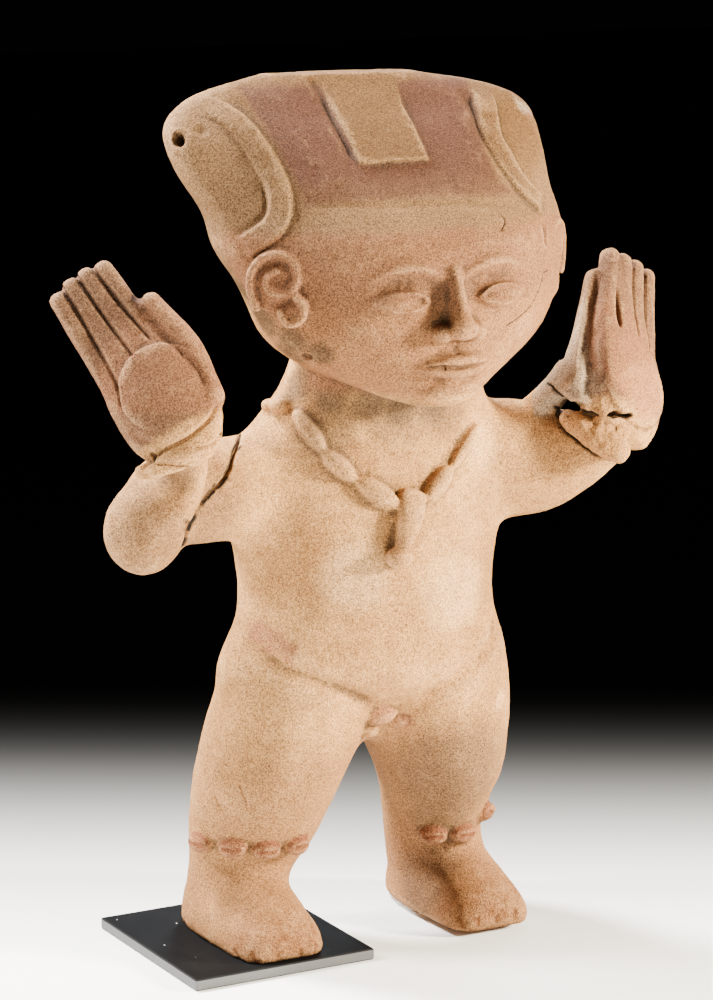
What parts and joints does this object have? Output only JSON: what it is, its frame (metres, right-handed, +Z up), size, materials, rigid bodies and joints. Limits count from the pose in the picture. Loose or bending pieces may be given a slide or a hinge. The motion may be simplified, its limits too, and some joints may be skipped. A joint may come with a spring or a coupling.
{
  "type": "veracruz sonriente figure",
  "caption": "Standing fired-clay figure with raised open hands, broad headdress, bead necklace and anklets, right foot on a flat black display plate.",
  "frame": {"origin": "middle of the whole thing's footprint, on the surface it stands on", "axes": "+Z up, the figure looks along -Y, its right hand is at -X"},
  "size_m": [0.3694, 0.1658, 0.4731],
  "materials": {
    "fired_clay": "matt unglazed buff clay with worn red-pink slip",
    "black_plate": "satin black, bare grey at the cut edges",
    "steel_pad": "dull grey sheet"
  },
  "bodies": {
    "root": {"figure": "fired_clay", "display_plate": "black_plate", "foot_pad": "steel_pad"}
  },
  "joints": []
}
